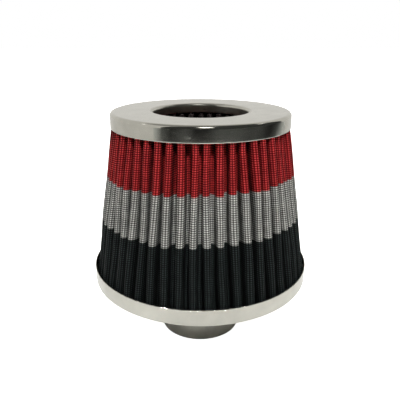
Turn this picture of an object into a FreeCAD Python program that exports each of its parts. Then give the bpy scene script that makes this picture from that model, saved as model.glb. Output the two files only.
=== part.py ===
import FreeCAD, Part
import Sketcher
import math
import os

# Twin-cone pleated air filter, standing on its neck.
# Millimetres, Z up, origin at the centre of the neck's open end.

doc = FreeCAD.newDocument("air_filter")

# Driving sizes in millimetres, and counts
SIZES = {
    "neck_length": 42.5,  # length of neck below the base cap
    "neck_bore": 53.0,  # bore of the neck
    "neck_wall": 2.0,  # wall of the neck
    "neck_step": 0.6,  # shoulder of the neck under the base cap
    "neck_edge": 0.5,  # chamfer on the neck's open end
    "flange_width": 8.0,  # width of the neck's inner flange
    "flange_thick": 1.5,  # thickness of the neck's flange
    "cap_sheet": 0.6,  # sheet thickness of the pressed caps
    "base_dia": 150.0,  # outer diameter of the base cap
    "base_skirt": 11.0,  # height of the base cap's skirt
    "base_bend": 1.4,  # outer bend radius of the base cap
    "top_skirt": 10.0,  # height of the top cap's skirt
    "top_bend": 2.2,  # outer bend radius of the top cap
    "top_hole": 62.6,  # hole in the top cap
    "lip_depth": 6.5,  # depth of the lip turned into the hole
    "lip_bend": 1.9,  # bend radius of that lip
    "pleat_height": 95.0,  # height of pleats seen between the caps
    "pleat_count": 50,  # pleats in the outer cone
    "pleat_depth": 8.0,  # fold depth of the outer cone
    "inner_count": 30,  # pleats in the inner cone
    "inner_depth": 8.5,  # fold depth of the inner cone
    "inner_height": 60.0,  # inner cone's length below the lip
    "inner_end_dia": 41.0,  # mouth of the inner cone at its lower end
    "cloth": 0.9,  # thickness of the filter cloth
    "air_gap": 8.0,  # air space between the two cones at the top
    "pleat_gap": 0.3,  # space between the folds and a cap's wall
    "bed": 3.0,  # thickness of the moulded beds
    "bed_margin": 1.5,  # width of a bed beyond the folds
    "fit_gap": 0.2,  # space round the neck in the base cap's hole
    "end_rim": 7.0,  # height of the end plate's rim
    "end_bend": 1.4,  # outer bend radius of the end plate
}

# Flat facets in each half-round tip of a cone's folds
OUTER_TIP_FACETS = 3
INNER_TIP_FACETS = 2

# Flat facets in each quarter-round bend, on the side in view and on the hidden side
BEND_FACETS = 2
HIDDEN_BEND_FACETS = 1

sheet = doc.addObject("Spreadsheet::Sheet", "Sizes")
for row, (alias, number) in enumerate(SIZES.items(), start=1):
    sheet.set(f"A{row}", alias)
    sheet.set(f"B{row}", str(number))
    sheet.setAlias(f"B{row}", alias)
doc.recompute()

# Heights worked out from the driving sizes
BASE_FLOOR = "(Sizes.neck_length + Sizes.cap_sheet)"
PLEAT_LOW = f"({BASE_FLOOR} + Sizes.bed)"
BASE_EDGE = "(Sizes.neck_length + Sizes.base_skirt)"
TOP_EDGE = f"({BASE_EDGE} + Sizes.pleat_height)"
TOP_FACE = f"({TOP_EDGE} + Sizes.top_skirt)"
TOP_CEILING = f"({TOP_FACE} - Sizes.cap_sheet)"
PLEAT_HIGH = f"({TOP_CEILING} - Sizes.bed)"
LIP_EDGE = f"({TOP_FACE} - Sizes.lip_depth)"
INNER_LOW = f"({LIP_EDGE} - Sizes.inner_height)"
END_FLOOR = f"({INNER_LOW} - Sizes.bed)"
END_UNDER = f"({END_FLOOR} - Sizes.cap_sheet)"
END_EDGE = f"({END_UNDER} + Sizes.end_rim)"

# Radii of the neck and base cap
BORE = "(Sizes.neck_bore / 2)"
NECK = f"({BORE} + Sizes.neck_wall)"
SPIGOT = f"({NECK} - Sizes.neck_step)"
BASE_OUT = "(Sizes.base_dia / 2)"
BASE_IN = f"({BASE_OUT} - Sizes.cap_sheet)"

# Radii of the inner cone, whose mouth narrows downwards from just behind the lip
LIP_IN = "(Sizes.top_hole / 2)"
LIP_OUT = f"({LIP_IN} + Sizes.cap_sheet)"
MOUTH_LIP = f"({LIP_OUT} + Sizes.pleat_gap)"
MOUTH_LOW = "(Sizes.inner_end_dia / 2)"
MOUTH_TAPER = f"(({MOUTH_LIP} - {MOUTH_LOW}) / Sizes.inner_height)"
MOUTH_HIGH = f"({MOUTH_LIP} + {MOUTH_TAPER} * ({PLEAT_HIGH} - {LIP_EDGE}))"
INNER_TIP_LOW = f"({MOUTH_LOW} + Sizes.inner_depth)"
INNER_TIP_HIGH = f"({MOUTH_HIGH} + Sizes.inner_depth)"
END_IN = f"({INNER_TIP_LOW} + {MOUTH_TAPER} * ({END_EDGE} - {INNER_LOW}) + Sizes.pleat_gap)"
END_OUT = f"({END_IN} + Sizes.cap_sheet)"

# Radii of the outer cone, and of the top cap that closes round it
TIP_LOW = f"({BASE_IN} - Sizes.pleat_gap)"
TIP_HIGH = f"({INNER_TIP_HIGH} + Sizes.air_gap + Sizes.pleat_depth)"
TIP_TAPER = f"(({TIP_LOW} - {TIP_HIGH}) / ({PLEAT_HIGH} - {PLEAT_LOW}))"
TOP_IN = f"({TIP_HIGH} + {TIP_TAPER} * ({PLEAT_HIGH} - {TOP_EDGE}) + Sizes.pleat_gap)"
TOP_OUT = f"({TOP_IN} + Sizes.cap_sheet)"


def value(expression):
    """The number that an expression on the sheet gives."""
    return float(sheet.evalExpression(expression))


def upright_plane(body):
    """The body's own XZ plane."""
    return next(item for item in body.Origin.OriginFeatures if item.Role == "XZ_Plane")


def polygon(body, name, corners):
    """A closed upright sketch whose corners are pairs of expressions."""
    sketch = body.newObject("Sketcher::SketchObject", name)
    sketch.AttachmentSupport = (upright_plane(body), [""])
    sketch.MapMode = "FlatFace"
    points = [FreeCAD.Vector(value(across), value(along), 0) for across, along in corners]
    count = len(points)
    for index in range(count):
        sketch.addGeometry(Part.LineSegment(points[index], points[(index + 1) % count]), False)
    for index in range(count):
        sketch.addConstraint(Sketcher.Constraint("Coincident", index, 2, (index + 1) % count, 1))
    for index, corner in enumerate(corners):
        for kind, expression in zip(("DistanceX", "DistanceY"), corner):
            datum = Sketcher.Constraint(kind, -1, 1, index, 1, value(expression))
            number = sketch.addConstraint(datum)
            sketch.setExpression(f"Constraints[{number}]", expression)
    return sketch


def turned(label, corners):
    """A body made by turning an outline of (radius, height) corners about Z."""
    body = doc.addObject("PartDesign::Body", label)
    body.Label = label
    sketch = polygon(body, f"{label}_outline", corners)
    ring = body.newObject("PartDesign::Revolution", f"{label}_ring")
    ring.Profile = sketch
    ring.ReferenceAxis = (sketch, ["V_Axis"])
    ring.Angle = 360
    body.Tip = ring
    doc.recompute()
    return body


def bend(centre, radius, start, turn, facets):
    """Corners of a quarter-round bend, from a start angle, turning by 90 or -90 degrees."""
    corners = []
    for facet in range(facets + 1):
        angle = start + turn * facet / facets
        across = f"{centre[0]} + {radius} * cos({angle}deg)"
        along = f"{centre[1]} + {radius} * sin({angle}deg)"
        corners.append((across, along))
    return corners


def fold_chain(tip, depth, count, facets, side):
    """Corners along one side of a pleat, from valley to valley over its half-round tip.

    Walls run parallel, so a fold's radius follows from the pitch at that end of the cone.
    The cloth lies half its thickness to each side: side is 1 for the tip's outside, -1 for its inside.
    """
    half = math.pi / count
    cloth = value("Sizes.cloth")
    valley = tip - depth
    middle = (valley + cloth / 2) * math.sin(half) / (2 - math.sin(half))
    tip_centre = tip - middle - cloth / 2
    valley_centre = valley + middle + cloth / 2
    valley_radius = middle - side * cloth / 2
    tip_radius = middle + side * cloth / 2
    wall_end = (valley_centre * math.cos(half), valley_centre * math.sin(half) - valley_radius)
    valley_end = valley_centre - valley_radius
    bottom = (valley_end * math.cos(half), valley_end * math.sin(half))
    over = []
    for facet in range(facets + 1):
        angle = math.pi * (facet / facets - 0.5)
        over.append(FreeCAD.Vector(tip_centre + tip_radius * math.cos(angle), tip_radius * math.sin(angle), 0))
    into = [FreeCAD.Vector(across, -along, 0) for across, along in (bottom, wall_end)]
    return into + over + [FreeCAD.Vector(*wall_end, 0)]


def ring_of(chain, count, height):
    """The chain repeated round Z at a height."""
    turn = FreeCAD.Rotation(FreeCAD.Vector(0, 0, 1), 360 / count)
    level = FreeCAD.Vector(0, 0, height)
    corners = []
    for _ in range(count):
        corners += [point + level for point in chain]
        chain = [turn.multVec(point) for point in chain]
    return corners


def strip(lower, upper):
    """Flat faces that join two closed rings of corners."""
    faces = []
    for index in range(len(lower)):
        after = (index + 1) % len(lower)
        corners = [lower[index], lower[after], upper[after], upper[index], lower[index]]
        faces.append(Part.Face(Part.makePolygon(corners)))
    return faces


def end_face(outside, inside):
    """The flat end of the cloth between its two sides."""
    wires = [Part.makePolygon(ring + ring[:1]) for ring in (outside, inside)]
    return Part.makeFace(wires, "Part::FaceMakerBullseye")


def pleated_cone(label, low, high, depth, count, facets):
    """A cone of cloth folded into pleats; low and high are (height, tip radius) at its ends.

    Every wall and fold facet is a plane, which a loft between sketches would not keep.
    """
    total = round(value(count))
    rings = []
    for height, tip in (low, high):
        for side in (1, -1):
            chain = fold_chain(value(tip), value(depth), total, facets, side)
            rings.append(ring_of(chain, total, value(height)))
    low_out, low_in, high_out, high_in = rings
    faces = strip(low_out, high_out) + strip(low_in, high_in)
    faces += [end_face(low_out, low_in), end_face(high_out, high_in)]
    shell = Part.makeShell(faces)
    shell.sewShape()
    solid = Part.makeSolid(shell)
    if solid.Volume < 0:
        solid.reverse()
    cone = doc.addObject("Part::Feature", label)
    cone.Label = label
    cone.Shape = solid
    cone.Placement = FreeCAD.Placement()
    return cone


def inlet_neck():
    """Aluminium tube that a hose slides over, swaged into the base cap between a shoulder and a flange."""
    flange = f"({NECK} + Sizes.flange_width)"
    flange_top = f"({BASE_FLOOR} + Sizes.flange_thick)"
    turned("inlet_neck", [
        (BORE, "0"),
        (f"{NECK} - Sizes.neck_edge", "0"),
        (NECK, "Sizes.neck_edge"),
        (NECK, "Sizes.neck_length"),
        (SPIGOT, "Sizes.neck_length"),
        (SPIGOT, BASE_FLOOR),
        (flange, BASE_FLOOR),
        (flange, flange_top),
        (BORE, flange_top),
    ])


def pan(label, out, under, bend_size, edge, hole):
    """A pressed pan: a floor, a bend of a given outer radius and an upright skirt."""
    inside = f"({out} - Sizes.cap_sheet)"
    floor = f"({under} + Sizes.cap_sheet)"
    centre = (f"{out} - {bend_size}", f"{under} + {bend_size}")
    inner_bend = f"({bend_size} - Sizes.cap_sheet)"
    corners = [(hole, under)]
    corners += bend(centre, bend_size, -90, 90, HIDDEN_BEND_FACETS)
    corners += [(out, edge), (inside, edge)]
    corners += bend(centre, inner_bend, 0, -90, HIDDEN_BEND_FACETS)
    corners += [(hole, floor)]
    return turned(label, corners)


def base_cap():
    """Pan with a skirt round the foot of the pleats and a hole for the neck."""
    hole = f"({SPIGOT} + Sizes.fit_gap)"
    pan("base_cap", BASE_OUT, "Sizes.neck_length", "Sizes.base_bend", BASE_EDGE, hole)


def inner_end_plate():
    """Pan that closes the lower end of the inner cone."""
    pan("inner_end_plate", END_OUT, END_UNDER, "Sizes.end_bend", END_EDGE, "0")


def top_cap():
    """Pressed ring with a skirt outside and a lip turned down into its hole."""
    lip_centre = (f"{LIP_IN} + Sizes.lip_bend", f"{TOP_FACE} - Sizes.lip_bend")
    skirt_centre = (f"{TOP_OUT} - Sizes.top_bend", f"{TOP_FACE} - Sizes.top_bend")
    corners = [(LIP_IN, LIP_EDGE), (LIP_OUT, LIP_EDGE)]
    corners += bend(lip_centre, "(Sizes.lip_bend - Sizes.cap_sheet)", 180, -90, HIDDEN_BEND_FACETS)
    corners += bend(skirt_centre, "(Sizes.top_bend - Sizes.cap_sheet)", 90, -90, HIDDEN_BEND_FACETS)
    corners += [(TOP_IN, TOP_EDGE), (TOP_OUT, TOP_EDGE)]
    corners += bend(skirt_centre, "Sizes.top_bend", 0, 90, BEND_FACETS)
    corners += bend(lip_centre, "Sizes.lip_bend", 90, 90, BEND_FACETS)
    turned("top_cap", corners)


def bed_ring(label, inner, outer, low, high):
    """A ring of moulded resin that an end of the pleats is set on."""
    turned(label, [(inner, low), (outer, low), (outer, high), (inner, high)])


def base_potting():
    """Bed on the flat of the base cap's floor."""
    inner = f"({TIP_LOW} - Sizes.pleat_depth - Sizes.bed_margin)"
    bed_ring("base_potting", inner, f"({BASE_OUT} - Sizes.base_bend)", BASE_FLOOR, PLEAT_LOW)


def top_potting():
    """Bed under the flat of the top cap's face, shared by both cones."""
    inner = f"({LIP_IN} + Sizes.lip_bend)"
    bed_ring("top_potting", inner, f"({TOP_OUT} - Sizes.top_bend)", PLEAT_HIGH, TOP_CEILING)


def inner_potting():
    """Bed on the flat of the end plate, under the inner cone."""
    inner = f"({MOUTH_LOW} - Sizes.bed_margin)"
    bed_ring("inner_potting", inner, f"({END_OUT} - Sizes.end_bend)", END_FLOOR, INNER_LOW)


def outer_pleats():
    """Outer cone, wider at the base cap than at the top cap."""
    low = (PLEAT_LOW, TIP_LOW)
    high = (PLEAT_HIGH, TIP_HIGH)
    pleated_cone("outer_pleats", low, high, "Sizes.pleat_depth", "Sizes.pleat_count", OUTER_TIP_FACETS)


def inner_pleats():
    """Inner cone, upside down in the top cap's hole."""
    low = (INNER_LOW, INNER_TIP_LOW)
    high = (PLEAT_HIGH, INNER_TIP_HIGH)
    pleated_cone("inner_pleats", low, high, "Sizes.inner_depth", "Sizes.inner_count", INNER_TIP_FACETS)


def check():
    """Stop on any object that failed or has no sound shape."""
    for item in doc.Objects:
        if "Invalid" in item.State or "Error" in item.State:
            raise RuntimeError(f"{item.Name} is in state {item.State}")
    for item in PIECES:
        if item.Shape.isNull() or not item.Shape.isValid() or len(item.Shape.Solids) != 1:
            raise RuntimeError(f"{item.Label} is not one valid solid")


inlet_neck()
base_cap()
base_potting()
outer_pleats()
inner_pleats()
inner_end_plate()
inner_potting()
top_potting()
top_cap()
doc.recompute()

PIECE_TYPES = ("PartDesign::Body", "Part::Feature")
PIECES = [item for item in doc.Objects if item.TypeId in PIECE_TYPES]
check()

os.makedirs("parts", exist_ok=True)
for piece in PIECES:
    piece.Shape.exportStep(f"parts/{piece.Label}.step")
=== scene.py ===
import math

import bmesh
import bpy
from bpy.props import FloatProperty, FloatVectorProperty, IntProperty, PointerProperty
from mathutils import Matrix, Vector


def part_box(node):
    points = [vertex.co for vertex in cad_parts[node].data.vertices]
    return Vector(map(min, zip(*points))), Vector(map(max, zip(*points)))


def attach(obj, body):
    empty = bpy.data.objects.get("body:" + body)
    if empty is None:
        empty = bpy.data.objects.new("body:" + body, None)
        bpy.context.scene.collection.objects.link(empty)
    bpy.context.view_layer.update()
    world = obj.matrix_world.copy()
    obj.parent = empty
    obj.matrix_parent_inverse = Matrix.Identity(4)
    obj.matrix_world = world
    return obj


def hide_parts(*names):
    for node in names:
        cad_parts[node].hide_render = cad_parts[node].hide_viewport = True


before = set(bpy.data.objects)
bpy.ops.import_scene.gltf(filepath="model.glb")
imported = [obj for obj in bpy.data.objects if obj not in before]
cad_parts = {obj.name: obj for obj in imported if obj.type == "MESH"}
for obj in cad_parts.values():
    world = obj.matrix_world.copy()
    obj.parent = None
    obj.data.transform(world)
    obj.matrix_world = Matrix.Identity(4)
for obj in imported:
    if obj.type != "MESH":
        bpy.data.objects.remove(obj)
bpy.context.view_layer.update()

bl_info = {
    "name": "Pleated Cone Air Filter",
    "version": (1, 0, 0),
    "blender": (4, 5, 0),
    "location": "View3D > Sidebar > Air Filter",
    "description": "Dresses the pleated cone air filter: cloth, caps, neck, resin and stage",
    "category": "Object",
}

# Boxes of the solids that the pieces are fitted to, in metres
TOP_LOW, TOP_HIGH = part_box("top_cap")
BASE_LOW, BASE_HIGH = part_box("base_cap")
NECK_LOW, NECK_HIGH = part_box("inlet_neck")
OUTER_LOW, OUTER_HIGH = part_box("outer_pleats")
INNER_LOW, INNER_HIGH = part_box("inner_pleats")
END_LOW, END_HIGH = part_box("inner_end_plate")
BODY = "root"

# Names that are used in more than one place
TOP_RING = "polished_top_ring"
PLEAT_RING = "pleat_ring"
CLOTH_UV = "cloth"
PLEAT_SHIFT = "pleat_shift"
FOLD_RISE = "fold_rise"
GLOW = "glow"

# How the folds wander: scale of the noise, its stretch along Z, its gain, and the share left at held ends
WANDER_SCALE = 85.0
WANDER_STRETCH = 0.08
WANDER_GAIN = 4.0
HELD_SHARE = 0.25

# Distances within which corners are joined, in metres
PLEAT_WELD = 2e-5
LATHE_WELD = 1e-7

# Plain colours and tints of the light
WHITE = (1.0, 1.0, 1.0)
NO_COLOUR = (0.0, 0.0, 0.0)
SCREEN_TINT = (1.0, 0.985, 0.94)
GLINT_TINT = (1.0, 0.99, 0.96)
FILL_TINT = (1.0, 0.99, 0.97)
DIM_FLOOR_TINT = (0.95, 1.0, 0.96)
MIRRORED_DARK = (0.05, 0.052, 0.05)

# Radii and heights of the room round the part, in metres
FLOOR_HALF = 9.0
CARD_LIFT = 0.0005
COVE_START = 0.5
SCREEN_RADIUS = 1.6
SCREEN_TOP = 2.2
CEILING_RADIUS = 0.55
CEILING_HEIGHT = 3.0

# Brightness of the dim floor that the polished metal mirrors, at degrees from the front to the right
FLOOR_TONES = (
    (-56, 0.45), (-46, 0.07), (-35, 0.01), (-17, 0.065), (-7, 0.0), (7, 0.0), (20, 0.06),
    (42, 0.07), (58, 0.03), (72, 0.055), (95, 0.0), (107, 0.06), (123, 0.55),
)

# The slant of that floor's right end in degrees, where it begins, and the radii of its edges in metres
SLANT = 10
SLANT_FROM = 60
SLANT_END = 0.78
STRAIGHT_START = 0.96
DIM_FLOOR_END = 7.0

# Soft discs that the polished bends mirror: name, place, radius and share of the glint's brightness
GLINTS = (
    ("front_glint", (0.11, -0.88, 1.2), 0.22, 1.0),
    ("left_glint", (-1.0, -0.1, 0.95), 0.12, 0.25),
    ("right_glint", (0.9, 0.1, 0.95), 0.12, 0.25),
)

# Places and sizes of the lamps, and what they point at, in metres
KEY_PLACE = (0.145, -0.8, 1.1)
KEY_SIZE = 0.1
BACK_PLACE = (-0.15, 1.1, 0.9)
BACK_SIZE = 0.5
PART_MIDDLE = Vector((0.0, 0.0, 0.1))

# The camera's sensor in millimetres, and its nearest view in metres
SENSOR = 36.0
NEAREST_VIEW = 0.01


def length(name, text, default):
    """A size in metres that a user would change."""
    return FloatProperty(name=name, description=text, default=default, unit="LENGTH", precision=5)


def number(name, text, default, unit="NONE"):
    """A strength or share that a user would change."""
    return FloatProperty(name=name, description=text, default=default, unit=unit)


def angle(name, text, degrees):
    """An angle that a user would change."""
    return FloatProperty(name=name, description=text, default=math.radians(degrees), subtype="ANGLE")


def colour(name, text, default):
    """A colour that a user would change."""
    return FloatVectorProperty(name=name, description=text, default=default, subtype="COLOR", size=3)


class ClothSettings(bpy.types.PropertyGroup):
    """Sizes and colours of the two pleated cones"""

    count: IntProperty(name="Outer Pleats", description="Folds round the outer cone", default=50)
    inner_count: IntProperty(name="Inner Pleats", description="Folds round the inner cone", default=30)
    depth: length("Outer Depth", "From tip to valley of an outer fold", 0.008)
    inner_depth: length("Inner Depth", "From tip to valley of an inner fold", 0.0085)
    base_tip: length("Base Tip Radius", "Radius of the outer folds at their lower end", 0.0741)
    top_tip: length("Top Tip Radius", "Radius of the outer folds at their upper end", 0.05723)
    inner_end_tip: length("Inner End Radius", "Radius of the inner folds at their lower end", 0.029)
    cloth: length("Thickness", "Thickness of the screened cloth", 0.0009)
    lean: length("Unevenness", "How far the folds wander from an even spacing", 0.0012)
    held: length("Held Length", "How far from their ends the folds are held more even", 0.012)
    seed: IntProperty(name="Seed", description="Seed of the unevenness", default=7)
    weave: length("Weave", "Distance between wires of the screen", 0.00132)
    red_edge: length("Red Edge", "Height where red turns to silver", 0.1163)
    black_edge: length("Black Edge", "Height where silver turns to black", 0.0867)
    edge_blur: length("Edge Blur", "Half the height over which two bands run together", 0.0004)
    edge_step: length("Edge Step", "How far the band edges step from fold to fold", 0.0006)
    edge_tilt: number("Edge Tilt", "Rise of the band edges along X", 0.018)
    edge_lean: number("Edge Lean", "Rise of the band edges along Y", -0.042)
    red: colour("Red", "Top band", (0.28, 0.0098, 0.0128))
    # Painted highlight: the red knots are paler to stand in for glints on the screen's wires
    red_knot_glint: colour("Red Knots", "Knots of the screen over the top band", (0.31, 0.026, 0.024))
    silver: colour("Silver", "Middle band", (0.3, 0.3, 0.28))
    black: colour("Black", "Bottom band", (0.006, 0.0086, 0.0084))
    # Painted highlight: the black knots are lighter to stand in for glints on the screen's wires
    black_knot_glint: colour("Black Knots", "Knots of the screen over the bottom band", (0.0155, 0.0205, 0.02))
    # Painted shade: the inner cone's red is a darker copy of the red, standing in for the shade inside the
    # cone
    shaded_inner_red: colour("Inner Red", "Inner cone, darker with oil", (0.08, 0.01, 0.012))
    # Painted shade: the next three give a darker band at the top of the inner cone, standing in for the
    # shade under the lip together with resin wicked into the cloth
    soaked_and_shaded: colour("Soaked Red", "Inner cone where resin has soaked in", (0.022, 0.016, 0.016))
    soak_and_shade: length("Soak", "How far resin has soaked down the inner cone", 0.0068)
    soak_and_shade_fade: length("Soak Fade", "Height over which the soaked red fades", 0.002)
    # Painted shade: how dark the walls of the folds are painted, standing in for the shade between the
    # folds
    painted_wall_shade: number("Wall Tone", "How dark the oiled walls of the folds are", 0.2)


class MetalSettings(bpy.types.PropertyGroup):
    """Sizes and colours of the caps, end plate, neck and resin"""

    sheet: length("Sheet", "Thickness of the pressed caps", 0.0006)
    top_bend: length("Top Bend", "Outer bend radius of the top cap", 0.0022)
    lip_bend: length("Lip Bend", "Bend radius of the lip in the hole", 0.0019)
    lip_depth: length("Lip Depth", "Depth of that lip", 0.0065)
    hole: length("Hole Radius", "Radius inside the lip", 0.0313)
    base_bend: length("Base Bend", "Outer bend radius of the base cap", 0.0014)
    end_bend: length("End Bend", "Outer bend radius of the end plate", 0.0014)
    neck_gap: length("Neck Gap", "Space round the neck in the base cap", 0.0002)
    neck_wall: length("Neck Wall", "Wall of the neck", 0.002)
    neck_edge: length("Neck Edge", "Rounding of the neck's open end", 0.0005)
    neck_step: length("Neck Step", "Shoulder that the base cap sits on", 0.0006)
    neck_radius: length("Neck Radius", "Outer radius of the neck", 0.0285)
    flange: length("Flange", "Thickness of the neck's flange", 0.0015)
    polished: colour("Polished", "Colour of the caps", (0.595, 0.585, 0.53))
    satin: colour("Satin", "Colour of the neck", (0.46, 0.45, 0.41))
    plain: colour("Plain", "Colour of the end plate", (0.5, 0.5, 0.48))
    resin: colour("Resin", "Colour of the moulded beds", (0.012, 0.012, 0.012))


class StageSettings(bpy.types.PropertyGroup):
    """Camera, light and floor"""

    eye: FloatVectorProperty(
        name="Camera", description="Place of the camera", default=(-0.0003, -0.3071, 0.2031),
        subtype="TRANSLATION", size=3)
    pitch: angle("Pitch", "How far the camera looks down", 19.31)
    roll: angle("Roll", "Camera's turn about its view", 0.15)
    lens: number("Lens", "Focal length of the camera", 41.63, "CAMERA")
    key: number("Key", "Power of the key light", 20.0, "POWER")
    back: number("Back", "Power of the light that falls on the far side", 9.0, "POWER")
    fill: number("Fill", "Strength of the room's soft light", 0.08)
    screen: number("Screen", "Brightness of the screen behind", 0.7)
    cove: number("Cove", "Brightness of the floor under that screen", 0.6)
    ceiling: number("Ceiling", "Brightness of the ceiling overhead", 0.35)
    glint: number("Glint", "Brightness of the glint on the caps' bends", 12.0)
    floor: colour("Floor", "Colour of the floor", (0.85, 0.85, 0.83))
    floor_glow: number("Floor Glow", "Light that lifts the floor to white", 1.0)
    paper: length("Paper", "Radius of the pale paper round the part", 0.63)
    dark_from: angle("Dark From", "Where the unlit part of the room begins, from the front", -47)
    dark_to: angle("Dark To", "Where the unlit part of the room ends, from the front", 114)


# Small tools for meshes


def finish_mesh(name, mesh, material):
    """An object at the origin, riding on the one body."""
    mesh.name = name
    piece = bpy.data.objects.new(name, mesh)
    bpy.context.scene.collection.objects.link(piece)
    mesh.materials.clear()
    mesh.materials.append(material)
    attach(piece, BODY)
    return piece


def evaluated_mesh(item):
    """A plain mesh of an object with its modifiers applied."""
    graph = bpy.context.evaluated_depsgraph_get()
    return bpy.data.meshes.new_from_object(item.evaluated_get(graph))


def grid_faces(rows, across):
    """Four-sided faces over a grid of corners that are listed row by row."""
    faces = []
    for row in range(rows - 1):
        for index in range(across - 1):
            first = row * across + index
            faces.append((first, first + 1, first + across + 1, first + across))
    return faces


def arc(centre, radius, start, turn, steps=8):
    """Points (radius, height) along an arc; angles are in degrees."""
    points = []
    for step in range(steps + 1):
        turned = math.radians(start + turn * step / steps)
        points.append((centre[0] + radius * math.cos(turned), centre[1] + radius * math.sin(turned)))
    return points


def rolled_edge(first, second, way):
    """A sheet's free edge, rounded between its two sides; way is 1 for up and -1 for down."""
    radius = abs(second[0] - first[0]) / 2
    centre = ((first[0] + second[0]) / 2, first[1] - way * radius)
    start = 0 if way > 0 else 180
    return arc(centre, radius, start, 180, steps=6)


def pan_outline(hole, low, high, bend, sheet):
    """Outline of a pressed pan in a box, from its hole to a skirt that stands up round it."""
    out, under, edge = high.x, low.z, high.z
    centre = (out - bend, under + bend)
    outline = [(hole, under)]
    outline += arc(centre, bend, -90, 90)
    outline += rolled_edge((out, edge), (out - sheet, edge), 1)
    outline += arc(centre, bend - sheet, 0, -90)
    outline += [(hole, under + sheet)]
    return outline


def with_supports(outline, reach=0.0002):
    """The outline with a point near each end of its long straights, which keeps their shading flat."""
    long_straight = 5 * reach
    points = []
    for first, second in zip(outline, outline[1:] + outline[:1]):
        points.append(first)
        span = math.dist(first, second)
        if span > long_straight:
            for share in (reach / span, 1 - reach / span):
                points.append(tuple(a + (b - a) * share for a, b in zip(first, second)))
    return points


def lathe(name, outline, material, segments=192, sharp=50):
    """A closed outline of (radius, height) points turned about Z; edges past sharp degrees stay crisp."""
    outline = with_supports(outline)
    count = len(outline)
    corners = []
    for segment in range(segments):
        turned = 2 * math.pi * segment / segments
        for radius, height in outline:
            corners.append((radius * math.cos(turned), radius * math.sin(turned), height))
    faces = []
    for segment in range(segments):
        after = (segment + 1) % segments
        for index in range(count):
            following = (index + 1) % count
            faces.append((
                segment * count + index,
                after * count + index,
                after * count + following,
                segment * count + following,
            ))
    mesh = bpy.data.meshes.new(name)
    mesh.from_pydata(corners, [], faces)
    shape = bmesh.new()
    shape.from_mesh(mesh)
    bmesh.ops.remove_doubles(shape, verts=shape.verts, dist=LATHE_WELD)
    bmesh.ops.dissolve_degenerate(shape, dist=LATHE_WELD, edges=shape.edges)
    bmesh.ops.recalc_face_normals(shape, faces=shape.faces)
    shape.to_mesh(mesh)
    shape.free()
    mesh.shade_smooth()
    mesh.set_sharp_from_angle(angle=math.radians(sharp))
    return finish_mesh(name, mesh, material)


# Small tools for materials


def shade_of(tint, share):
    """A colour made darker or paler by a share."""
    return tuple(share * part for part in tint)


class Shader:
    """A node material under construction."""

    def __init__(self, name):
        self.material = bpy.data.materials.new(name)
        self.material.use_nodes = True
        self.nodes = self.material.node_tree.nodes
        self.links = self.material.node_tree.links
        self.surface = self.nodes["Principled BSDF"]

    def add(self, kind, **settings):
        """A node with its properties set."""
        node = self.nodes.new(kind)
        for key, setting in settings.items():
            setattr(node, key, setting)
        return node

    def feed(self, node, socket, source):
        """Link a source socket, or set a constant."""
        if isinstance(source, bpy.types.NodeSocket):
            self.links.new(source, node.inputs[socket])
        else:
            node.inputs[socket].default_value = source

    def math(self, operation, first, second=0.0, third=0.0):
        """One Math node."""
        node = self.add("ShaderNodeMath", operation=operation)
        for index, source in enumerate((first, second, third)):
            self.feed(node, index, source)
        return node.outputs[0]

    def attribute(self, name):
        """A number that the mesh carries."""
        return self.add("ShaderNodeAttribute", attribute_name=name).outputs["Fac"]

    def place(self, scale=(1, 1, 1)):
        """Object coordinates, stretched."""
        coordinates = self.add("ShaderNodeTexCoord")
        mapping = self.add("ShaderNodeMapping")
        self.links.new(coordinates.outputs["Object"], mapping.inputs["Vector"])
        mapping.inputs["Scale"].default_value = scale
        return mapping.outputs["Vector"]

    def split(self, vector):
        """The X, Y and Z of a vector."""
        node = self.add("ShaderNodeSeparateXYZ")
        self.links.new(vector, node.inputs["Vector"])
        return node.outputs

    def noise(self, vector, scale, detail=2.0):
        """Noise from 0 to 1."""
        node = self.add("ShaderNodeTexNoise")
        self.links.new(vector, node.inputs["Vector"])
        node.inputs["Scale"].default_value = scale
        node.inputs["Detail"].default_value = detail
        return node.outputs["Fac"]

    def spread(self, source, low, high, start=0.3, end=0.7):
        """A value moved from the range start to end into the range low to high."""
        node = self.add("ShaderNodeMapRange")
        self.links.new(source, node.inputs["Value"])
        node.inputs["From Min"].default_value = start
        node.inputs["From Max"].default_value = end
        node.inputs["To Min"].default_value = low
        node.inputs["To Max"].default_value = high
        return node.outputs["Result"]

    def blend(self, factor, first, second):
        """Two colours mixed by a factor."""
        node = self.add("ShaderNodeMix", data_type="RGBA")
        self.feed(node, 0, factor)
        for socket, source in ((6, first), (7, second)):
            if not isinstance(source, bpy.types.NodeSocket):
                source = (*source, 1.0)
            self.feed(node, socket, source)
        return node.outputs[2]

    def inside_radius(self, radius, amount, blur=0.0005):
        """An amount within a radius of the Z axis, and nothing beyond it."""
        flat = self.add("ShaderNodeVectorMath", operation="LENGTH")
        self.links.new(self.place((1, 1, 0)), flat.inputs[0])
        return self.spread(flat.outputs["Value"], amount, 0.0, radius - blur, radius + blur)

    def bump(self, height, strength, distance, normal=None):
        """A bump on the surface."""
        node = self.add("ShaderNodeBump")
        node.inputs["Strength"].default_value = strength
        node.inputs["Distance"].default_value = distance
        self.links.new(height, node.inputs["Height"])
        if normal is not None:
            self.links.new(normal, node.inputs["Normal"])
        return node.outputs["Normal"]

    def set(self, **sockets):
        """Feed the surface's own sockets."""
        for name, source in sockets.items():
            if isinstance(source, tuple) and len(source) == 3:
                source = (*source, 1.0)
            self.feed(self.surface, name.replace("_", " "), source)
        return self.material


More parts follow.
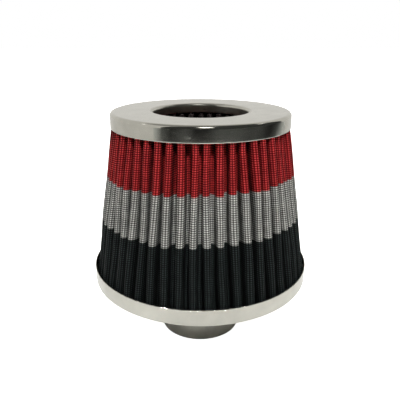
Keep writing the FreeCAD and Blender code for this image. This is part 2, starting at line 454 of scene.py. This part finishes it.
def polished_metal(tint, lip, rim, nick_reach=0.0005):
    """Wavy, rubbed and polished sheet, duller inside the lip's radius and nicked at the rim's height."""
    shader = Shader("polished_cap")
    waves = shader.noise(shader.place(), scale=45.0, detail=1.0)
    rub = shader.noise(shader.place((1, 1, 20)), scale=40.0)
    specks = shader.noise(shader.place(), scale=700.0)
    at_rim = shader.math("COMPARE", shader.split(shader.place())["Z"], rim, nick_reach)
    nicks = shader.math("MULTIPLY", at_rim, shader.noise(shader.place(), scale=420.0, detail=3.0))
    normal = shader.bump(waves, strength=0.2, distance=0.0006)
    normal = shader.bump(rub, strength=0.04, distance=0.0002, normal=normal)
    normal = shader.bump(nicks, strength=1.0, distance=0.0012, normal=normal)
    tone = shader.spread(shader.noise(shader.place(), scale=110.0, detail=4.0), low=0.0, high=1.0)
    dulled = shader.inside_radius(lip, amount=0.2)
    roughness = shader.math("ADD", shader.spread(rub, low=0.07, high=0.12), dulled)
    speckled = shader.spread(specks, low=0.0, high=0.04, start=0.6, end=0.75)
    return shader.set(
        Base_Color=shader.blend(tone, tint, shade_of(tint, 0.88)),
        Metallic=1.0,
        Roughness=shader.math("ADD", roughness, speckled),
        Normal=normal,
    )


def satin_metal(tint):
    """Satin tube with fine marks round it."""
    shader = Shader("satin_neck")
    marks = shader.noise(shader.place((1, 1, 40)), scale=60.0, detail=4.0)
    cloud = shader.noise(shader.place(), scale=70.0, detail=3.0)
    return shader.set(
        Base_Color=shader.blend(shader.spread(cloud, low=0.0, high=1.0), tint, shade_of(tint, 0.8)),
        Metallic=0.85,
        Roughness=shader.spread(marks, low=0.42, high=0.56),
        Normal=shader.bump(marks, strength=0.12, distance=0.0002),
    )


def plain_metal(tint):
    """Unpolished pressed sheet."""
    shader = Shader("plain_end_plate")
    cloud = shader.noise(shader.place(), scale=90.0, detail=3.0)
    return shader.set(
        Base_Color=shader.blend(shader.spread(cloud, low=0.0, high=1.0), tint, shade_of(tint, 0.75)),
        Metallic=1.0,
        Roughness=shader.spread(cloud, low=0.3, high=0.45),
    )


def moulded_resin(tint):
    """Matt moulded resin, slightly lumpy."""
    shader = Shader("moulded_resin")
    lumps = shader.noise(shader.place(), scale=300.0, detail=3.0)
    return shader.set(
        Base_Color=shader.blend(lumps, tint, shade_of(tint, 2.2)),
        Roughness=shader.spread(lumps, low=0.45, high=0.65),
        Normal=shader.bump(lumps, strength=0.3, distance=0.0004),
    )


def screen_pattern(shader, weave):
    """How strongly a row of the screen shows, and how strongly a knot in it does, from 0 to 1."""
    cloth = shader.add("ShaderNodeUVMap", uv_map=CLOTH_UV)
    flat = shader.split(cloth.outputs["UV"])
    waves = []
    for axis in ("X", "Y"):
        turn = shader.math("MULTIPLY", flat[axis], 2 * math.pi / weave)
        waves.append(shader.math("MULTIPLY_ADD", shader.math("COSINE", turn), 0.5, 0.5))
    column, row = waves
    return row, shader.math("MULTIPLY", row, column)


def screened_cloth(name, settings, banded):
    """Oiled cotton behind a fine wire screen, in bands of colour or all red."""
    gap_tone, row_tone, knot_and_glint_tone = 0.12, 0.16, 1.95
    shader = Shader(name)
    row, knot = screen_pattern(shader, settings.weave)
    grime = shader.noise(shader.place(), scale=230.0, detail=4.0)
    # The screen's rows and knots lighten the colour: the weave's own pattern, and at the knots also a
    # painted highlight of the wires' glints
    tone = shader.math("MULTIPLY_ADD", row, row_tone, gap_tone)
    tone = shader.math("MULTIPLY_ADD", knot, knot_and_glint_tone, tone)
    tone = shader.math("MULTIPLY", tone, shader.spread(grime, low=0.75, high=1.15))
    # Painted shade: the folds' walls are darkened in colour, full at the tips and valley floors, darkest
    # partway up the walls
    rise = shader.attribute(FOLD_RISE)
    tip = shader.spread(rise, low=settings.painted_wall_shade, high=1.0, start=0.45, end=0.92)
    valley = shader.spread(rise, low=1.0, high=settings.painted_wall_shade, start=0.04, end=0.3)
    tone = shader.math("MULTIPLY", tone, shader.math("MAXIMUM", tip, valley))
    colours = band_colours(shader, settings, knot) if banded else soaked_and_shaded_red(shader, settings)
    scaled = shader.add("ShaderNodeVectorMath", operation="SCALE")
    shader.feed(scaled, 0, colours)
    shader.feed(scaled, "Scale", tone)
    return shader.set(
        Base_Color=scaled.outputs["Vector"],
        Roughness=shader.spread(knot, low=0.75, high=0.42, start=0.2, end=0.9),
        Specular_IOR_Level=0.08,
        Normal=shader.bump(knot, strength=0.6, distance=0.0003),
    )


def band_colours(shader, settings, knot):
    """Red over silver over black, with edges that step from fold to fold."""
    place = shader.split(shader.place())
    step = shader.math("MULTIPLY", shader.attribute(PLEAT_SHIFT), settings.edge_step)
    tilt = shader.math("MULTIPLY_ADD", place["X"], settings.edge_tilt, step)
    tilt = shader.math("MULTIPLY_ADD", place["Y"], settings.edge_lean, tilt)
    height = shader.math("SUBTRACT", place["Z"], tilt)

    def above(edge):
        return shader.spread(height, 0.0, 1.0, edge - settings.edge_blur, edge + settings.edge_blur)

    # Painted highlight: the knots' colours are the wires' glints painted into the colour of the bands
    lowest = shader.blend(knot, tuple(settings.black), tuple(settings.black_knot_glint))
    lower = shader.blend(above(settings.black_edge), lowest, tuple(settings.silver))
    upper = shader.blend(knot, tuple(settings.red), tuple(settings.red_knot_glint))
    return shader.blend(above(settings.red_edge), lower, upper)


def soaked_and_shaded_red(shader, settings):
    """Oiled red, darker again in a band at the inner cone's top: painted shade under the lip, together with
    the bed's resin wicked into the cloth.
    """
    height = shader.split(shader.place())["Z"]
    edge = INNER_HIGH.z - settings.soak_and_shade
    soak_and_shade = shader.spread(height, 0.0, 1.0, edge - settings.soak_and_shade_fade, edge)
    return shader.blend(soak_and_shade, tuple(settings.shaded_inner_red), tuple(settings.soaked_and_shaded))


# The pleated cones


def fold_path(tip, depth, count, cloth):
    """Points (across, along, distance) on the middle of the cloth, valley to valley over a tip."""
    half = math.pi / count
    bend = (tip - depth + cloth / 2) * math.sin(half) / (2 - math.sin(half))
    tip_centre = tip - bend - cloth / 2
    valley_centre = tip - depth + bend + cloth / 2
    valley = (valley_centre * math.cos(half), -valley_centre * math.sin(half))
    rise = arc(valley, bend, 180 - math.degrees(half), math.degrees(half) - 90, steps=3)
    wall = [(valley[0] + (tip_centre - valley[0]) * part / 4, -bend) for part in (1, 2, 3)]
    over = arc((tip_centre, 0.0), bend, -90, 90, steps=4)
    side = rise + wall + over
    points = side + [(across, -along) for across, along in reversed(side[:-1])]
    path = []
    distance = 0.0
    for index, point in enumerate(points):
        if index:
            distance += math.dist(point, points[index - 1])
        path.append((*point, distance))
    return path


def pleat_strip(name, low, high, depth, count, cloth, outward, levels=20):
    """One pleat between (height, tip radius) ends, with its flat places and its rise from the valley."""
    corners = []
    flat = []
    rise = []
    for level in range(levels + 1):
        part = level / levels
        height = low[0] + (high[0] - low[0]) * part
        tip = low[1] + (high[1] - low[1]) * part
        path = fold_path(tip, depth, count, cloth)
        corners += [(across, along, height) for across, along, _ in path]
        flat += [(distance, height) for _, _, distance in path]
        above_valley = [1 - (tip - across) / depth for across, _, _ in path]
        rise += above_valley if outward else [1 - share for share in above_valley]
    mesh = bpy.data.meshes.new(name)
    mesh.from_pydata(corners, [], grid_faces(levels + 1, len(path)))
    layer = mesh.uv_layers.new(name=CLOTH_UV)
    for loop in mesh.loops:
        layer.data[loop.index].uv = flat[loop.vertex_index]
    mesh.attributes.new(FOLD_RISE, "FLOAT", "POINT").data.foreach_set("value", rise)
    return mesh


def pleat_ring_tree():
    """Geometry Nodes that repeat one pleat round Z and let the folds wander between their held ends."""
    tree = bpy.data.node_groups.new(PLEAT_RING, "GeometryNodeTree")
    for name, kind in (
        ("Geometry", "NodeSocketGeometry"),
        ("Count", "NodeSocketInt"),
        ("Unevenness", "NodeSocketFloat"),
        ("Low", "NodeSocketFloat"),
        ("High", "NodeSocketFloat"),
        ("Held Length", "NodeSocketFloat"),
        ("Seed", "NodeSocketInt"),
        ("Material", "NodeSocketMaterial"),
    ):
        tree.interface.new_socket(name, in_out="INPUT", socket_type=kind)
    tree.interface.new_socket("Geometry", in_out="OUTPUT", socket_type="NodeSocketGeometry")

    def add(kind, inputs, **settings):
        node = tree.nodes.new(kind)
        for key, setting in settings.items():
            setattr(node, key, setting)
        for socket, source in inputs.items():
            if isinstance(source, bpy.types.NodeSocket):
                tree.links.new(source, node.inputs[socket])
            else:
                node.inputs[socket].default_value = source
        return node.outputs

    def calculate(operation, first, second):
        return add("ShaderNodeMath", {0: first, 1: second}, operation=operation)[0]

    def calculate_vector(operation, first, second):
        return add("ShaderNodeVectorMath", {0: first, 1: second}, operation=operation)[0]

    # One pleat at each turn round the ring, with its own shift of the band edges
    start = add("NodeGroupInput", {})
    index = add("GeometryNodeInputIndex", {})[0]
    points = add("GeometryNodePoints", {"Count": start["Count"]})[0]
    pitch = calculate("DIVIDE", 2 * math.pi, start["Count"])
    rotation = add("ShaderNodeCombineXYZ", {"Z": calculate("MULTIPLY", index, pitch)})[0]
    ring = add("GeometryNodeInstanceOnPoints", {
        "Points": points, "Instance": start["Geometry"], "Rotation": rotation})[0]
    shift = add("FunctionNodeRandomValue", {
        2: -1.0, 3: 1.0, "ID": index, "Seed": start["Seed"]}, data_type="FLOAT")[1]
    marked = add("GeometryNodeStoreNamedAttribute", {
        "Geometry": ring, "Name": PLEAT_SHIFT, "Value": shift}, data_type="FLOAT", domain="INSTANCE")[0]
    real = add("GeometryNodeRealizeInstances", {"Geometry": marked})[0]
    joined = add("GeometryNodeMergeByDistance", {"Geometry": real, "Distance": PLEAT_WELD})[0]

    # A level wander that changes slowly along each fold
    position = add("GeometryNodeInputPosition", {})[0]
    stretched = calculate_vector("MULTIPLY", position, (1.0, 1.0, WANDER_STRETCH))
    wander = add("ShaderNodeTexNoise", {
        "Vector": stretched, "W": start["Seed"], "Scale": WANDER_SCALE, "Detail": 1.0},
        noise_dimensions="4D")["Color"]
    centred = calculate_vector("SUBTRACT", wander, (0.5, 0.5, 0.5))
    level = calculate_vector("MULTIPLY", centred, (WANDER_GAIN, WANDER_GAIN, 0.0))

    # The ends are held more even, because the caps' skirts go round them
    height = add("ShaderNodeSeparateXYZ", {0: position})["Z"]
    above = calculate("SUBTRACT", height, start["Low"])
    below = calculate("SUBTRACT", start["High"], height)
    free = add("ShaderNodeMapRange", {
        "Value": calculate("MINIMUM", above, below),
        "From Max": start["Held Length"], "To Min": HELD_SHARE})[0]
    amount = calculate("MULTIPLY", start["Unevenness"], free)
    offset = add("ShaderNodeVectorMath", {0: level, "Scale": amount}, operation="SCALE")[0]
    moved = add("GeometryNodeSetPosition", {"Geometry": joined, "Offset": offset})[0]
    smooth = add("GeometryNodeSetShadeSmooth", {"Geometry": moved})[0]
    clad = add("GeometryNodeSetMaterial", {"Geometry": smooth, "Material": start["Material"]})[0]
    add("NodeGroupOutput", {"Geometry": clad})
    return tree


def pleated_cone(name, node, low, high, depth, count, settings, material, outward):
    """The whole cone as one cloth on its bed, in place of its solid; outward says which side is in view."""
    pleat = pleat_strip(name, low, high, depth, count, settings.cloth, outward)
    strip = bpy.data.objects.new(f"{name}_strip", pleat)
    bpy.context.scene.collection.objects.link(strip)
    tree = bpy.data.node_groups.get(PLEAT_RING) or pleat_ring_tree()
    ring = strip.modifiers.new("ring", "NODES")
    ring.node_group = tree
    values = {
        "Count": count, "Unevenness": settings.lean, "Low": low[0], "High": high[0],
        "Held Length": settings.held, "Seed": settings.seed, "Material": material,
    }
    for item in tree.interface.items_tree:
        if item.in_out == "INPUT" and item.name in values:
            ring[item.identifier] = values[item.name]
    sheet_mesh = evaluated_mesh(strip)
    wall = strip.modifiers.new("wall", "SOLIDIFY")
    wall.thickness = settings.cloth
    wall.offset = 0.0
    mesh = evaluated_mesh(strip)
    bpy.data.objects.remove(strip)
    bpy.data.meshes.remove(sheet_mesh)
    piece = finish_mesh(name, mesh, material)
    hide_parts(node)


class AIRFILTER_OT_outer_pleats(bpy.types.Operator):
    """Fold the outer cone in its three bands of colour"""

    bl_idname = "airfilter.outer_pleats"
    bl_label = "Outer Pleats"

    def execute(self, context):
        cloth = context.scene.airfilter_cloth
        pleated_cone(
            "banded_pleats", "outer_pleats",
            low=(OUTER_LOW.z, cloth.base_tip), high=(OUTER_HIGH.z, cloth.top_tip),
            depth=cloth.depth, count=cloth.count, settings=cloth,
            material=screened_cloth("banded_cloth", cloth, True),
            outward=True)
        return {"FINISHED"}


class AIRFILTER_OT_inner_pleats(bpy.types.Operator):
    """Fold the inner cone, upside down in the top cap's hole"""

    bl_idname = "airfilter.inner_pleats"
    bl_label = "Inner Pleats"

    def execute(self, context):
        cloth = context.scene.airfilter_cloth
        top_tip = max(INNER_HIGH.x, INNER_HIGH.y)
        pleated_cone(
            "red_inner_pleats", "inner_pleats",
            low=(INNER_LOW.z, cloth.inner_end_tip), high=(INNER_HIGH.z, top_tip),
            depth=cloth.inner_depth, count=cloth.inner_count, settings=cloth,
            material=screened_cloth("red_cloth", cloth, False),
            outward=False)
        return {"FINISHED"}


# The metal and the resin


class AIRFILTER_OT_caps(bpy.types.Operator):
    """Press the polished top and base caps"""

    bl_idname = "airfilter.caps"
    bl_label = "Polished Caps"

    def execute(self, context):
        metal = context.scene.airfilter_metal
        material = polished_metal(tuple(metal.polished), metal.hole + metal.lip_bend, BASE_HIGH.z)
        self.top(metal, material)
        self.base(metal, material)
        return {"FINISHED"}

    def top(self, metal, material):
        """Ring with a skirt and a lip turned down into its hole."""
        sheet = metal.sheet
        out, face, edge = TOP_HIGH.x, TOP_HIGH.z, TOP_LOW.z
        lip_edge = face - metal.lip_depth
        lip_centre = (metal.hole + metal.lip_bend, face - metal.lip_bend)
        skirt_centre = (out - metal.top_bend, face - metal.top_bend)
        outline = rolled_edge((metal.hole, lip_edge), (metal.hole + sheet, lip_edge), -1)
        outline += arc(lip_centre, metal.lip_bend - sheet, 180, -90)
        outline += arc(skirt_centre, metal.top_bend - sheet, 90, -90)
        outline += rolled_edge((out - sheet, edge), (out, edge), -1)
        outline += arc(skirt_centre, metal.top_bend, 0, 90)
        outline += arc(lip_centre, metal.lip_bend, 90, 90)
        piece = lathe(TOP_RING, outline, material)
        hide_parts("top_cap")

    def base(self, metal, material):
        """Pan with a skirt and a hole for the neck."""
        hole = metal.neck_radius - metal.neck_step + metal.neck_gap
        outline = pan_outline(hole, BASE_LOW, BASE_HIGH, metal.base_bend, metal.sheet)
        piece = lathe("polished_base_pan", outline, material)
        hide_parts("base_cap")


class AIRFILTER_OT_neck(bpy.types.Operator):
    """Turn the satin neck with its inner flange"""

    bl_idname = "airfilter.neck"
    bl_label = "Neck"

    def execute(self, context):
        metal = context.scene.airfilter_metal
        out, edge = metal.neck_radius, metal.neck_edge
        bore, seat = out - metal.neck_wall, out - metal.neck_step
        bottom, top = NECK_LOW.z, NECK_HIGH.z
        outline = [(bore, bottom)]
        outline += arc((out - edge, bottom + edge), edge, -90, 90, steps=5)
        outline += [
            (out, BASE_LOW.z),
            (seat, BASE_LOW.z),
            (seat, top - metal.flange),
            (NECK_HIGH.x, top - metal.flange),
            (NECK_HIGH.x, top),
            (bore, top),
        ]
        piece = lathe("satin_tube", outline, satin_metal(tuple(metal.satin)), sharp=40)
        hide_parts("inlet_neck")
        return {"FINISHED"}


class AIRFILTER_OT_end_plate(bpy.types.Operator):
    """Press the plate that closes the inner cone"""

    bl_idname = "airfilter.end_plate"
    bl_label = "End Plate"

    def execute(self, context):
        metal = context.scene.airfilter_metal
        outline = pan_outline(0.0, END_LOW, END_HIGH, metal.end_bend, metal.sheet)
        piece = lathe("inner_end_pan", outline, plain_metal(tuple(metal.plain)), segments=128)
        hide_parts("inner_end_plate")
        return {"FINISHED"}


class AIRFILTER_OT_resin(bpy.types.Operator):
    """Give the moulded beds their finish"""

    bl_idname = "airfilter.resin"
    bl_label = "Resin Beds"

    def execute(self, context):
        material = moulded_resin(tuple(context.scene.airfilter_metal.resin))
        for node in ("top_potting", "inner_potting", "base_potting"):
            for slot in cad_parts[node].material_slots:
                slot.material = material
        return {"FINISHED"}


# The stage


def stage_mesh(name, corners, faces, material):
    """A mesh that belongs to the stage and not to the part."""
    mesh = bpy.data.meshes.new(name)
    mesh.from_pydata(corners, [], faces)
    mesh.materials.append(material)
    item = bpy.data.objects.new(name, mesh)
    bpy.context.scene.collection.objects.link(item)
    return item


def glowing(shader, tint, strength):
    """The shader's material, made to give light alone."""
    return shader.set(Base_Color=NO_COLOUR, Emission_Color=tint, Emission_Strength=strength)


def towards_part(place):
    """The turn that points a lamp or disc at the middle of the part."""
    return (PART_MIDDLE - Vector(place)).to_track_quat("-Z", "Y")


def from_front(radius, turned, height):
    """The place at a radius and height, at an angle from the front to the right."""
    return (radius * math.sin(turned), -radius * math.cos(turned), height)


def curved_card(name, start, end, first, second, material, steps=48):
    """A strip round Z between two (radius, height) edges; angles run from the front to the right."""
    corners = []
    for step in range(steps + 1):
        turned = start + (end - start) * step / steps
        corners += [from_front(radius, turned, height) for radius, height in (first, second)]
    faces = [(2 * step, 2 * step + 2, 2 * step + 3, 2 * step + 1) for step in range(steps)]
    return stage_mesh(name, corners, faces, material)


def toned_card(name, corners, faces, tones, tint):
    """A stage mesh whose light varies from corner to corner."""
    shader = Shader(name)
    material = glowing(shader, tint, shader.attribute(GLOW))
    card = stage_mesh(name, corners, faces, material)
    card.data.attributes.new(GLOW, "FLOAT", "POINT").data.foreach_set("value", tones)
    return card


def dim_floor(paper):
    """The dim floor beyond the paper, whose right end slants back towards the front."""
    rings = ((paper, SLANT), (SLANT_END, SLANT), (STRAIGHT_START, 0), (DIM_FLOOR_END, 0))
    corners = []
    tones = []
    for degrees, tone in FLOOR_TONES:
        for radius, back in rings:
            turned = math.radians(degrees - back if degrees > SLANT_FROM else degrees)
            corners.append(from_front(radius, turned, CARD_LIFT))
            tones.append(tone)
    faces = grid_faces(len(FLOOR_TONES), len(rings))
    return toned_card("dim_floor", corners, faces, tones, DIM_FLOOR_TINT)


def soft_disc(name, place, radius, strength, steps=24):
    """A disc that faces the part and is brightest in its middle, which makes a soft glint."""
    middle = Vector(place)
    facing = towards_part(place)
    corners = [middle]
    for step in range(steps):
        turned = 2 * math.pi * step / steps
        rim = Vector((radius * math.cos(turned), radius * math.sin(turned), 0.0))
        corners.append(facing @ rim + middle)
    faces = [(0, step + 1, (step + 1) % steps + 1) for step in range(steps)]
    return toned_card(name, corners, faces, [strength] + [0.0] * steps, GLINT_TINT)


class AIRFILTER_OT_stage(bpy.types.Operator):
    """Set the floor, light and camera"""

    bl_idname = "airfilter.stage"
    bl_label = "Stage"

    def execute(self, context):
        stage = context.scene.airfilter_stage
        self.camera(context, stage)
        self.floor(stage)
        self.reflections(stage)
        self.lights(stage)
        self.room(context, stage)
        context.scene.view_settings.view_transform = "Standard"
        return {"FINISHED"}

    def camera(self, context, stage):
        """Camera at the photograph's angle."""
        camera = bpy.data.objects.new("camera", bpy.data.cameras.new("camera"))
        context.scene.collection.objects.link(camera)
        camera.data.lens = stage.lens
        camera.data.sensor_width = SENSOR
        camera.data.clip_start = NEAREST_VIEW
        tip = Matrix.Rotation(math.pi / 2 - stage.pitch, 4, "X")
        turn = Matrix.Rotation(stage.roll, 4, "Z")
        camera.matrix_world = Matrix.Translation(stage.eye) @ tip @ turn
        context.scene.camera = camera

    def floor(self, stage):
        """Wide pale floor, which a glow that only the camera sees lifts to white."""
        shader = Shader("pale_floor")
        path = shader.add("ShaderNodeLightPath")
        material = shader.set(
            Base_Color=tuple(stage.floor),
            Roughness=0.8,
            Specular_IOR_Level=0.2,
            Emission_Color=WHITE,
            Emission_Strength=shader.math("MULTIPLY", path.outputs["Is Camera Ray"], stage.floor_glow),
        )
        ways = ((-1, -1), (1, -1), (1, 1), (-1, 1))
        corners = [(FLOOR_HALF * across, FLOOR_HALF * along, 0.0) for across, along in ways]
        stage_mesh("floor", corners, [(0, 1, 2, 3)], material)

    def reflections(self, stage):
        """What only mirrors see: dim floor in front, pale room behind, grey ceiling and soft glints."""
        pale = glowing(Shader("pale_screen"), SCREEN_TINT, stage.screen)
        cove = glowing(Shader("pale_cove"), SCREEN_TINT, stage.cove)
        grey = glowing(Shader("grey_ceiling"), SCREEN_TINT, stage.ceiling)
        whole = 2 * math.pi
        pale_from, pale_to = stage.dark_to, stage.dark_from + whole
        cove_from, cove_to = math.radians(FLOOR_TONES[-1][0]), math.radians(FLOOR_TONES[0][0] + 360)
        cove_near, cove_far = (COVE_START, CARD_LIFT), (SCREEN_RADIUS, CARD_LIFT)
        foot, head = (SCREEN_RADIUS, 0.0), (SCREEN_RADIUS, SCREEN_TOP)
        ceiling_middle, ceiling_rim = (0.0, CEILING_HEIGHT), (CEILING_RADIUS, CEILING_HEIGHT)
        cards = [
            curved_card("pale_cove", cove_from, cove_to, cove_near, cove_far, cove),
            curved_card("pale_screen", pale_from, pale_to, foot, head, pale),
            curved_card("grey_slope", pale_from, pale_to, head, ceiling_rim, grey),
            curved_card("grey_ceiling", 0.0, whole, ceiling_middle, ceiling_rim, grey),
            dim_floor(stage.paper),
        ]
        for name, place, radius, share in GLINTS:
            cards.append(soft_disc(name, place, radius, share * stage.glint))
        for card in cards:
            card.visible_camera = False
            card.visible_diffuse = False
            card.visible_shadow = False

    def lights(self, stage):
        """A small key above the front and a soft lamp for the far side, both kept off the top ring."""
        spared = bpy.data.collections.new("spared_by_lamps")
        spared.objects.link(bpy.data.objects[TOP_RING])
        spared.collection_objects[0].light_linking.link_state = "EXCLUDE"
        for name, place, size, power, mirrored in (
            ("key", KEY_PLACE, KEY_SIZE, stage.key, True),
            ("back_lamp", BACK_PLACE, BACK_SIZE, stage.back, False),
        ):
            light = bpy.data.lights.new(name, "AREA")
            light.size = size
            light.energy = power
            lamp = bpy.data.objects.new(name, light)
            bpy.context.scene.collection.objects.link(lamp)
            lamp.location = place
            lamp.rotation_euler = towards_part(place).to_euler()
            lamp.visible_glossy = mirrored
            lamp.light_linking.receiver_collection = spared

    def room(self, context, stage):
        """White to the camera, nearly dark to mirrors and softly lit to everything else."""
        world = bpy.data.worlds.new("room")
        context.scene.world = world
        world.use_nodes = True
        nodes, links = world.node_tree.nodes, world.node_tree.links
        path = nodes.new("ShaderNodeLightPath")
        soft = nodes["Background"]
        soft.inputs["Color"].default_value = (*FILL_TINT, 1.0)
        soft.inputs["Strength"].default_value = stage.fill
        shade = soft.outputs["Background"]
        for ray, tone in (("Is Glossy Ray", MIRRORED_DARK), ("Is Camera Ray", WHITE)):
            view = nodes.new("ShaderNodeBackground")
            view.inputs["Color"].default_value = (*tone, 1.0)
            mix = nodes.new("ShaderNodeMixShader")
            links.new(path.outputs[ray], mix.inputs["Fac"])
            links.new(shade, mix.inputs[1])
            links.new(view.outputs["Background"], mix.inputs[2])
            shade = mix.outputs["Shader"]
        links.new(shade, nodes["World Output"].inputs["Surface"])


# The panel, and the list of what is registered


class AIRFILTER_PT_panel(bpy.types.Panel):
    """Sizes, colours and the operators that build each piece"""

    bl_label = "Air Filter"
    bl_idname = "AIRFILTER_PT_panel"
    bl_space_type = "VIEW_3D"
    bl_region_type = "UI"
    bl_category = "Air Filter"

    def draw(self, context):
        layout = self.layout
        for group_name, group in GROUPS.items():
            box = layout.box()
            for name in group.__annotations__:
                box.prop(getattr(context.scene, group_name), name)
        for operator in OPERATORS:
            layout.operator(operator.bl_idname)


OPERATORS = (
    AIRFILTER_OT_outer_pleats,
    AIRFILTER_OT_inner_pleats,
    AIRFILTER_OT_caps,
    AIRFILTER_OT_neck,
    AIRFILTER_OT_end_plate,
    AIRFILTER_OT_resin,
    AIRFILTER_OT_stage,
)
GROUPS = {
    "airfilter_cloth": ClothSettings,
    "airfilter_metal": MetalSettings,
    "airfilter_stage": StageSettings,
}


def register():
    """Add the settings, operators and panel."""
    for name, group in GROUPS.items():
        bpy.utils.register_class(group)
        setattr(bpy.types.Scene, name, PointerProperty(type=group))
    for item in (*OPERATORS, AIRFILTER_PT_panel):
        bpy.utils.register_class(item)


def unregister():
    """Remove them again."""
    for item in (AIRFILTER_PT_panel, *reversed(OPERATORS)):
        bpy.utils.unregister_class(item)
    for name, group in GROUPS.items():
        delattr(bpy.types.Scene, name)
        bpy.utils.unregister_class(group)


def main():
    """Build every piece and the stage."""
    register()
    for operator in OPERATORS:
        group, name = operator.bl_idname.split(".")
        getattr(getattr(bpy.ops, group), name)()


if __name__ == "__main__":
    main()
